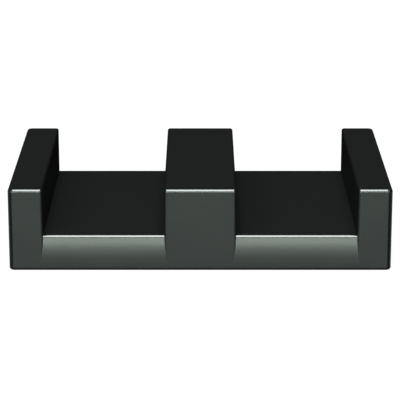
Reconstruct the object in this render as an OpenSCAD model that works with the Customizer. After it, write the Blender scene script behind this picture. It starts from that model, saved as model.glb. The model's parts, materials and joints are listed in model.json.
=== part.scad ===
// Planar ferrite E core: three low legs on a thin back, pressed and sintered as one piece.
// It lies on its back, legs up. X runs across the legs, Y along the winding windows, Z up.
// The origin is the middle of the underside. Millimetres.

/* [Overall size] */
// Length across the three legs
core_length = 43.2; // [38:0.1:64]
// Depth along the winding windows
core_depth = 27.9; // [10:0.1:60]
// Height from the underside of the back to the mating faces
core_height = 9.5; // [6:0.1:25]

/* [Back and legs] */
// Thickness of the back at the floor of the windows
back_thickness = 4.05; // [2.5:0.05:5.5]
// Width of the centre leg
centre_leg_width = 8.1; // [3:0.1:16]
// Distance from one outer leg to the other, across both windows
window_span = 35.4; // [24:0.1:39]

/* [Rounded edges] */
// Radius of the four upright outer corners
corner_radius = 0.6; // [0.4:0.05:1.5]
// Radius of the edges round the underside
heel_radius = 0.3; // [0.1:0.05:0.6]
// Radius of the edges of the mating faces and the windows
edge_radius = 0.3; // [0.1:0.05:0.4]

/* [Relief below the windows] */
// Height at which the end face of the back starts to curve away
relief_start = 0.95; // [0.65:0.05:2]
// Radius of that curve, which runs up to the floor of the window
relief_radius = 15; // [10:0.5:40]

/* [Hidden] */
$fn = 180;

half_length = core_length / 2;
half_depth = core_depth / 2;
half_leg = centre_leg_width / 2;
half_span = window_span / 2;

// Cutting shapes run this far past what they cut
overrun = 1;

// Height range and edge radii, lower then upper, of the slab under the legs and of the legs
slab_z = [0, relief_start];
slab_edges = [heel_radius, 0];
leg_z = [relief_start, core_height];
leg_edges = [0, edge_radius];

// Middle of the relief arc and of the small arc between it and the window floor:
// distance in from the end face, then height
relief_centre = [relief_radius, relief_start];
rim_distance = relief_radius - edge_radius;
rim_rise = back_thickness - edge_radius - relief_start;
rim_centre = relief_centre + [-sqrt(pow(rim_distance, 2) - pow(rim_rise, 2)), rim_rise];

// What rounding takes off a square corner whose arc is centred on the origin
module corner_offcut(radius) {
    difference() {
        square(radius + overrun);
        circle(radius);
    }
}

// Upright section from the middle plane outwards, with its two outer corners rounded
module section(reach, z, edges) {
    difference() {
        translate([0, z[0]]) square([reach, z[1] - z[0]]);
        if (edges[0] > 0)
            translate([reach - edges[0], z[0] + edges[0]])
                mirror([0, 1]) corner_offcut(edges[0]);
        if (edges[1] > 0)
            translate([reach - edges[1], z[1] - edges[1]])
                corner_offcut(edges[1]);
    }
}

// Half-depth bar along X, rounded along its outer edges
module straight_bar(length, z, edges) {
    rotate([90, 0, 90])
        linear_extrude(length) section(half_depth, z, edges);
}

// Half-depth end of a bar: a strip along Y that turns an upright corner of the given radius
module bar_end(corner, z, edges) {
    translate([0, half_depth - corner, 0]) {
        rotate([90, 0, 0])
            linear_extrude(half_depth - corner) section(corner, z, edges);
        rotate_extrude(angle = 90) section(corner, z, edges);
    }
}

// Quarter of the slab that carries the legs
module slab_quarter() {
    straight_bar(half_length - corner_radius, slab_z, slab_edges);
    translate([half_length - corner_radius, 0, 0])
        bar_end(corner_radius, slab_z, slab_edges);
}

// Quarter of the centre leg
module centre_leg_quarter() {
    straight_bar(half_leg - edge_radius, leg_z, leg_edges);
    translate([half_leg - edge_radius, 0, 0])
        bar_end(edge_radius, leg_z, leg_edges);
}

// Half of an outer leg, with small corners on the window side and larger ones outside
module outer_leg_half() {
    inner_x = half_span + edge_radius;
    outer_x = half_length - corner_radius;
    translate([inner_x, 0, 0]) {
        straight_bar(outer_x - inner_x, leg_z, leg_edges);
        mirror([1, 0, 0]) bar_end(edge_radius, leg_z, leg_edges);
    }
    translate([outer_x, 0, 0])
        bar_end(corner_radius, leg_z, leg_edges);
}

// Corner of the web's section that the small arc replaces, between that arc's two end normals
module rim_offcut() {
    reach = back_thickness;
    along_relief = (rim_centre - relief_centre) / rim_distance;
    polygon([
        rim_centre,
        rim_centre + reach * along_relief,
        rim_centre + reach * [-1, 1],
        rim_centre + reach * [0, 1]
    ]);
}

// Upright section of the back below a window, from its end face inwards to the middle plane.
// The relief arc starts flush with the face and the small arc turns it into the window floor.
module web_section() {
    translate(rim_centre) circle(edge_radius);
    difference() {
        translate([0, relief_start])
            square([half_depth, back_thickness - relief_start]);
        translate(relief_centre)
            mirror([1, 0]) corner_offcut(relief_radius);
        rim_offcut();
    }
}

// Half of the back below one window; it reaches into the legs as far as their rounded corners do
module web_half() {
    web_start = half_leg - edge_radius;
    web_length = half_span + edge_radius - web_start;
    translate([web_start, half_depth, 0])
        mirror([0, 1, 0])
            rotate([90, 0, 90])
                linear_extrude(web_length) web_section();
}

// The whole core: one quarter and its mirror images
module e_core() {
    color("#474c49")
        for (left = [0, 1], front = [0, 1])
            mirror([left, 0, 0])
                mirror([0, front, 0]) {
                    slab_quarter();
                    web_half();
                    centre_leg_quarter();
                    outer_leg_half();
                }
}

e_core();
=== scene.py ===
import json
import math

import bpy
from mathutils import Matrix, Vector


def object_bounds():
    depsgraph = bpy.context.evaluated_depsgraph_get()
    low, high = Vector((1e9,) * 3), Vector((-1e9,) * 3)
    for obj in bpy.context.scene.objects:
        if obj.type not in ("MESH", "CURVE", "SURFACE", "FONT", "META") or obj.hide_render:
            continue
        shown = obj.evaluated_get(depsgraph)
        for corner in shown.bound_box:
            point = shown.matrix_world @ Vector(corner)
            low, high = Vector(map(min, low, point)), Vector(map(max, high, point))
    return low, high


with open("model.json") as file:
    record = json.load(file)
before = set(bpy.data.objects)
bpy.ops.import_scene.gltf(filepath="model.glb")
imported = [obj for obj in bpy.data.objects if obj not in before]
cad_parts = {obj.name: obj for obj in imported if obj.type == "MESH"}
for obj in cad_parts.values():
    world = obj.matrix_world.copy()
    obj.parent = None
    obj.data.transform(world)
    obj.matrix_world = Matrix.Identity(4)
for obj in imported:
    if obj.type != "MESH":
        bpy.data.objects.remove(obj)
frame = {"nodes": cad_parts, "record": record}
cad_low, cad_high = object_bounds()

# Camera: metres in front of the front face and above the floor, degrees below level
CAMERA_FRONT = 0.21288
CAMERA_HEIGHT = 0.07147
CAMERA_PITCH = 16.52
CAMERA_LENS = 178.5
CAMERA_SENSOR = 36.0
CAMERA_SHIFT = -0.00035
CAMERA_CLIP = (0.01, 20.0)

# Ferrite: linear colour, darker and paler mottle, and the tint of its gloss
FERRITE = (0.0103, 0.0120, 0.0112)
FERRITE_PALE = (0.0128, 0.0146, 0.0136)
FERRITE_GLOSS = (0.93, 1.0, 0.965)
FERRITE_IOR = 2.2

# Roughness of the end faces, and of the sides and rounded edges; the mottle varies both.
# The ground rim is the last of the rounding, this far below the tops.
FACE_ROUGHNESS = 0.30
EDGE_ROUGHNESS = 0.16
RIM_ROUGHNESS = 0.21
RIM_DEPTH = 0.00003
MOTTLE_ROUGHNESS = 0.04

# How far the normal's Y part may fall short of 1 before a face starts to be, and is all, an edge
FACE_START = 0.022
FACE_LIMIT = 0.042

# Dull finish of the flat tops, window floors and window walls; the share is of the colour, and darkens them
# as painted shade
DULL_SHADE_SHARE = 0.65
DULL_ROUGHNESS = 0.55
DULL_SPECULAR = 0.03
FLAT_NORMAL = 0.97
WALL_MARGIN = 0.0003

# Noise of the sintered surface: cells per metre, detail, and the bump in metres
MOTTLE = (260.0, 3.0)
GRAIN = (5200.0, 2.0)
BUMP_STRENGTH = 0.05
BUMP_DISTANCE = 0.00002

# Floor and surroundings: plain colours, and the glow and paper that seen rays meet
WHITE = (1.0, 1.0, 1.0)
FLOOR_REACH = 1.5
FLOOR_DROP = 1e-5
FLOOR_GREY = (0.50, 0.50, 0.50)
FLOOR_PAPER = (0.14, 0.14, 0.14)
FLOOR_GLOW = 0.90
SURROUND = (0.12, 0.12, 0.12)

# Cards that the core's gloss meets in place of the white: radiance, how far they reach past the
# core, the height of the walls, the gap between cards stacked on the floor, and the margin of the dark rim at
# the foot, a painted contact shadow
CARD_GREY = (0.157, 0.166, 0.168)
CARD_DARK = (0.002, 0.002, 0.002)
CARD_REACH = 0.50
CARD_HEIGHT = 1.30
CARD_STEP = 2e-5
CONTACT_SHADOW_MARGIN = 0.0008

# Degrees off straight ahead: the corner cards' edge, from the ends of the front face, and the near
# ends of the walls, from its middle
CORNER_ANGLE = 30
WALL_ANGLE = 52

# Card across the front, above the low lamp: metres away, degrees above level
BAND_DISTANCE = 0.62
BAND_ANGLES = (7, 34)

# Cards in the rear mouths of the windows. The record's openings keep clear of the ferrite.
OPENING_CLEARANCE = 0.0001
WINDOW_CARD_INSET = 0.0003
WINDOW_CARD_RISE = 0.0015

# Lamps: azimuth from the front and elevation in degrees, width and height, radiance, colour
LAMP_DISTANCE = 0.5
OVERHEAD_LAMP = (-1.5, 78, 0.23, 0.90, 4.8, WHITE)
LEFT_LAMP = (-48, 48, 0.28, 0.28, 4.5, WHITE)
LOW_LAMP = (-3, 4.0, 0.62, 0.040, 6.9, (0.90, 1.0, 0.90))


def rgba(colour):
    return (*colour, 1.0)


def fresh_tree(owner):
    owner.use_nodes = True
    owner.node_tree.nodes.clear()
    return owner.node_tree


def add(tree, kind, **settings):
    """Adds a shader node and sets its properties."""
    made = tree.nodes.new(kind)
    for name, value in settings.items():
        setattr(made, name, value)
    return made


def feed(tree, target, source):
    """Links a socket to an input, or writes a plain value into it."""
    if isinstance(source, bpy.types.NodeSocket):
        tree.links.new(source, target)
    else:
        target.default_value = source


def maths(tree, operation, a, b=0.0, c=0.0, clamp=False):
    made = add(tree, "ShaderNodeMath", operation=operation, use_clamp=clamp)
    for target, source in zip(made.inputs, (a, b, c)):
        feed(tree, target, source)
    return made.outputs[0]


def blend(tree, factor, low, high):
    """Colour between two colours."""
    made = add(tree, "ShaderNodeMix", data_type="RGBA")
    feed(tree, made.inputs[0], factor)
    feed(tree, made.inputs[6], rgba(low))
    feed(tree, made.inputs[7], rgba(high))
    return made.outputs[2]


def blend_shaders(tree, factor, low, high):
    made = add(tree, "ShaderNodeMixShader")
    for target, source in zip(made.inputs, (factor, low, high)):
        tree.links.new(source, target)
    return made.outputs[0]


def noise(tree, place, scale, detail):
    made = add(tree, "ShaderNodeTexNoise")
    made.inputs["Scale"].default_value = scale
    made.inputs["Detail"].default_value = detail
    tree.links.new(place, made.inputs["Vector"])
    return made.outputs[0]


def parts_of(tree, vector):
    """X, Y and Z outputs of a vector."""
    made = add(tree, "ShaderNodeSeparateXYZ")
    tree.links.new(vector, made.inputs[0])
    return made.outputs


def make_camera():
    data = bpy.data.cameras.new("camera")
    data.lens = CAMERA_LENS
    data.sensor_width = CAMERA_SENSOR
    data.shift_x = CAMERA_SHIFT
    data.clip_start, data.clip_end = CAMERA_CLIP
    camera = bpy.data.objects.new("camera", data)
    centre_x = (cad_low.x + cad_high.x) / 2
    camera.location = (centre_x, cad_low.y - CAMERA_FRONT, cad_low.z + CAMERA_HEIGHT)
    camera.rotation_euler = (math.radians(90 - CAMERA_PITCH), 0, 0)
    bpy.context.scene.collection.objects.link(camera)
    bpy.context.scene.camera = camera


def white_for_seen_rays(tree, plain, seen):
    """Mixes two shaders: seen is what the camera, gloss and glass meet, plain is the rest."""
    path = add(tree, "ShaderNodeLightPath")
    rays = maths(tree, "MAXIMUM", path.outputs["Is Camera Ray"], path.outputs["Is Glossy Ray"])
    rays = maths(tree, "MAXIMUM", rays, path.outputs["Is Transmission Ray"])
    return blend_shaders(tree, rays, plain, seen)


def ferrite_roughness(tree, mottle, place, facing):
    """Rougher on the end faces and relief, smoother on the sides and rounded edges."""
    turned = maths(tree, "SUBTRACT", 1.0, maths(tree, "ABSOLUTE", facing["Y"]))
    fade = 1 / (FACE_LIMIT - FACE_START)
    frontal = maths(tree, "MULTIPLY_ADD", turned, -fade, fade * FACE_LIMIT, clamp=True)
    skin = maths(tree, "MULTIPLY_ADD", frontal, FACE_ROUGHNESS - EDGE_ROUGHNESS, EDGE_ROUGHNESS)
    spread = maths(tree, "MULTIPLY_ADD", mottle, MOTTLE_ROUGHNESS, -MOTTLE_ROUGHNESS / 2)
    skin = maths(tree, "ADD", skin, spread)
    rim = maths(tree, "GREATER_THAN", place["Z"], cad_high.z - RIM_DEPTH)
    change = maths(tree, "MULTIPLY", rim, maths(tree, "SUBTRACT", RIM_ROUGHNESS, skin))
    return maths(tree, "ADD", skin, change)


def dull_shaded_areas(tree, place, facing, window_x, window_z):
    """1 on the flat tops, window floors and window walls, fading out over their edges; there the finish is
    dull and the colour carries painted shade.
    """
    gain = 1 / (1 - FLAT_NORMAL)
    level = maths(tree, "ABSOLUTE", facing["Z"])
    flat = maths(tree, "MULTIPLY_ADD", level, gain, -gain * FLAT_NORMAL, clamp=True)
    inside = maths(tree, "LESS_THAN", maths(tree, "ABSOLUTE", place["X"]), window_x + WALL_MARGIN)
    above = maths(tree, "GREATER_THAN", place["Z"], window_z)
    sideways = maths(tree, "ABSOLUTE", facing["X"])
    wall = maths(tree, "MULTIPLY", maths(tree, "MULTIPLY", inside, above), sideways)
    return maths(tree, "MAXIMUM", wall, flat)


def ferrite_finish(tree, tone, share, bump):
    """Principled shader of the ferrite, its colour scaled by a share, which below 1 is painted shade."""
    shader = add(tree, "ShaderNodeBsdfPrincipled")
    shader.inputs["IOR"].default_value = FERRITE_IOR
    low, high = [[share * channel for channel in colour] for colour in (FERRITE, FERRITE_PALE)]
    tree.links.new(blend(tree, tone, low, high), shader.inputs["Base Color"])
    tree.links.new(bump, shader.inputs["Normal"])
    return shader


def ferrite_material(window_x, window_z):
    """Sintered ferrite: charcoal with a green cast, glossy outside, dull on flats and in windows, where its
    colour is darkened as painted shade.
    """
    material = bpy.data.materials.new("sintered_ferrite")
    tree = fresh_tree(material)
    coordinates = add(tree, "ShaderNodeTexCoord")
    place = parts_of(tree, coordinates.outputs["Object"])
    facing = parts_of(tree, coordinates.outputs["Normal"])
    mottle = noise(tree, coordinates.outputs["Object"], *MOTTLE)
    grain = noise(tree, coordinates.outputs["Object"], *GRAIN)
    tone = maths(tree, "MULTIPLY_ADD", grain, 0.5, maths(tree, "MULTIPLY", mottle, 0.5))

    bump = add(tree, "ShaderNodeBump")
    bump.inputs["Strength"].default_value = BUMP_STRENGTH
    bump.inputs["Distance"].default_value = BUMP_DISTANCE
    tree.links.new(grain, bump.inputs["Height"])

    gloss = ferrite_finish(tree, tone, 1.0, bump.outputs[0])
    gloss.inputs["Specular Tint"].default_value = rgba(FERRITE_GLOSS)
    tree.links.new(ferrite_roughness(tree, mottle, place, facing), gloss.inputs["Roughness"])

    # Painted shade: the dull areas keep only a share of the colour, darkening the tops, window floors and
    # window walls.
    dull_shaded_finish = ferrite_finish(tree, tone, DULL_SHADE_SHARE, bump.outputs[0])
    dull_shaded_finish.inputs["Roughness"].default_value = DULL_ROUGHNESS
    dull_shaded_finish.inputs["Specular IOR Level"].default_value = DULL_SPECULAR

    dull_shaded_mask = dull_shaded_areas(tree, place, facing, window_x, window_z)
    out = add(tree, "ShaderNodeOutputMaterial")
    tree.links.new(blend_shaders(tree, dull_shaded_mask, gloss.outputs[0], dull_shaded_finish.outputs[0]), out.inputs["Surface"])
    return material


def floor_material():
    material = bpy.data.materials.new("floor")
    tree = fresh_tree(material)
    plain = add(tree, "ShaderNodeBsdfDiffuse")
    plain.inputs["Color"].default_value = rgba(FLOOR_GREY)
    paper = add(tree, "ShaderNodeBsdfDiffuse")
    paper.inputs["Color"].default_value = rgba(FLOOR_PAPER)
    glow = add(tree, "ShaderNodeEmission")
    glow.inputs["Strength"].default_value = FLOOR_GLOW
    seen = add(tree, "ShaderNodeAddShader")
    tree.links.new(paper.outputs[0], seen.inputs[0])
    tree.links.new(glow.outputs[0], seen.inputs[1])
    out = add(tree, "ShaderNodeOutputMaterial")
    tree.links.new(white_for_seen_rays(tree, plain.outputs[0], seen.outputs[0]), out.inputs["Surface"])
    return material


def make_world():
    world = bpy.data.worlds.new("studio")
    tree = fresh_tree(world)
    plain = add(tree, "ShaderNodeBackground")
    plain.inputs["Color"].default_value = rgba(SURROUND)
    seen = add(tree, "ShaderNodeBackground")
    seen.inputs["Color"].default_value = rgba(WHITE)
    seen.inputs["Strength"].default_value = FLOOR_GLOW
    out = add(tree, "ShaderNodeOutputWorld")
    tree.links.new(white_for_seen_rays(tree, plain.outputs[0], seen.outputs[0]), out.inputs["Surface"])
    bpy.context.scene.world = world


def stage_mesh(name, points, faces, material):
    mesh = bpy.data.meshes.new(name)
    mesh.from_pydata(points, [], faces)
    mesh.materials.append(material)
    made = bpy.data.objects.new(name, mesh)
    bpy.context.scene.collection.objects.link(made)
    return made


def level_rectangle(low_x, low_y, high_x, high_y, z):
    return [(low_x, low_y, z), (high_x, low_y, z), (high_x, high_y, z), (low_x, high_y, z)]


def make_floor():
    points = level_rectangle(-FLOOR_REACH, -FLOOR_REACH, FLOOR_REACH, FLOOR_REACH, cad_low.z - FLOOR_DROP)
    stage_mesh("floor", points, [(0, 1, 2, 3)], floor_material())


def card_material(name, colour):
    material = bpy.data.materials.new(name)
    tree = fresh_tree(material)
    glow = add(tree, "ShaderNodeEmission")
    glow.inputs["Color"].default_value = rgba(colour)
    out = add(tree, "ShaderNodeOutputMaterial")
    tree.links.new(glow.outputs[0], out.inputs["Surface"])
    return material


def card(name, points, material, faces=((0, 1, 2, 3),)):
    """A studio card that only the core's reflections meet."""
    made = stage_mesh(name, points, faces, material)
    made.visible_camera = False
    made.visible_diffuse = False
    made.visible_transmission = False
    made.visible_volume_scatter = False
    made.visible_shadow = False


def make_table_cards(grey, dark):
    """A grey table, and on it a dark rim round the foot of the core, a painted contact shadow, and dark front
    corners.
    """
    side, front, back, z = cad_high.x, cad_low.y, cad_high.y, cad_low.z
    far = side + CARD_REACH
    card("card_table", level_rectangle(-far, front - CARD_REACH, far, back + CARD_REACH, z), grey)

    # Painted shadow: a dark sheet round the foot of the core, which its reflections meet as its contact
    # shadow.
    rim = side + CONTACT_SHADOW_MARGIN
    foot = level_rectangle(-rim, front - CONTACT_SHADOW_MARGIN, rim, back + CONTACT_SHADOW_MARGIN, z + 2 * CARD_STEP)
    card("card_contact", foot, dark)

    slant = math.tan(math.radians(CORNER_ANGLE)) * CARD_REACH
    for name, way in (("left", -1), ("right", 1)):
        outline = [(side, front), (side + slant, front - CARD_REACH), (far, front - CARD_REACH), (far, front)]
        card("card_corner_" + name, [(way * x, y, z + CARD_STEP) for x, y in outline], dark)


def make_window_cards(dark, window):
    """Dark cards that close the rear mouths of both windows."""
    near_x, far_x, low_z, high_z = window
    for name, way in (("left", -1), ("right", 1)):
        outline = [(near_x, low_z), (far_x, low_z), (far_x, high_z), (near_x, high_z)]
        mouth = [(way * x, cad_high.y - WINDOW_CARD_INSET, z) for x, z in outline]
        card("card_window_" + name, mouth, dark)


def make_wall_cards(dark):
    """Dark walls at the sides and rear, a roof over the rear half, and a band across the front."""
    front, z = cad_low.y, cad_low.z
    middle = (cad_low.y + cad_high.y) / 2
    far = cad_high.x + CARD_REACH
    rear = cad_high.y + CARD_REACH
    start = front - far / math.tan(math.radians(WALL_ANGLE))
    foot = [(-far, start), (-far, rear), (far, rear), (far, start)]
    walls = [(x, y, z) for x, y in foot] + [(x, y, z + CARD_HEIGHT) for x, y in foot]
    walls += [(-far, middle, z + CARD_HEIGHT), (far, middle, z + CARD_HEIGHT)]
    card("card_walls", walls, dark, [(0, 1, 5, 4), (1, 2, 6, 5), (2, 3, 7, 6), (5, 6, 9, 8)])

    ahead = front - BAND_DISTANCE
    low, high = [z + BAND_DISTANCE * math.tan(math.radians(angle)) for angle in BAND_ANGLES]
    band = [(-BAND_DISTANCE, ahead, low), (BAND_DISTANCE, ahead, low),
            (BAND_DISTANCE, ahead, high), (-BAND_DISTANCE, ahead, high)]
    card("card_band", band, dark)


def softbox(name, azimuth, elevation, width, height, radiance, colour):
    """A rectangular lamp that looks at the core, with a given radiance."""
    data = bpy.data.lights.new(name, "AREA")
    data.shape = "RECTANGLE"
    data.size = width
    data.size_y = height
    data.color = colour
    data.energy = radiance * math.pi * width * height
    lamp = bpy.data.objects.new(name, data)
    a, e = math.radians(azimuth), math.radians(elevation)
    away = Vector((math.sin(a) * math.cos(e), -math.cos(a) * math.cos(e), math.sin(e)))
    lamp.location = away * LAMP_DISTANCE
    lamp.rotation_mode = "QUATERNION"
    lamp.rotation_quaternion = away.to_track_quat("Z", "Y")
    lamp.visible_camera = False
    bpy.context.scene.collection.objects.link(lamp)
    return lamp


def window_section():
    """Near and far X, floor and card top of a window, from the record's opening on the +X side."""
    openings = frame["record"]["physics"]["openings"]
    low, high = [opening["box_m"] for opening in openings if opening["name"] == "right_winding_window"][0]
    near_x, far_x = low[0] - OPENING_CLEARANCE, high[0] + OPENING_CLEARANCE
    return near_x, far_x, low[2] - OPENING_CLEARANCE, cad_high.z + WINDOW_CARD_RISE


def make_cards(window):
    grey = card_material("card_grey", CARD_GREY)
    dark = card_material("card_dark", CARD_DARK)
    make_table_cards(grey, dark)
    make_window_cards(dark, window)
    make_wall_cards(dark)


def make_lamps():
    """Two lamps that the core mirrors, and a fill on the left that it doesn't."""
    softbox("overhead", *OVERHEAD_LAMP)
    fill = softbox("left", *LEFT_LAMP)
    fill.visible_glossy = False
    softbox("low", *LOW_LAMP)


window = window_section()
make_camera()
make_world()
make_floor()
make_cards(window)
make_lamps()

core = frame["nodes"]["e_core"]
core.data.materials.clear()
core.data.materials.append(ferrite_material(window_x=window[1], window_z=window[2]))

bpy.context.scene.view_settings.view_transform = "Standard"
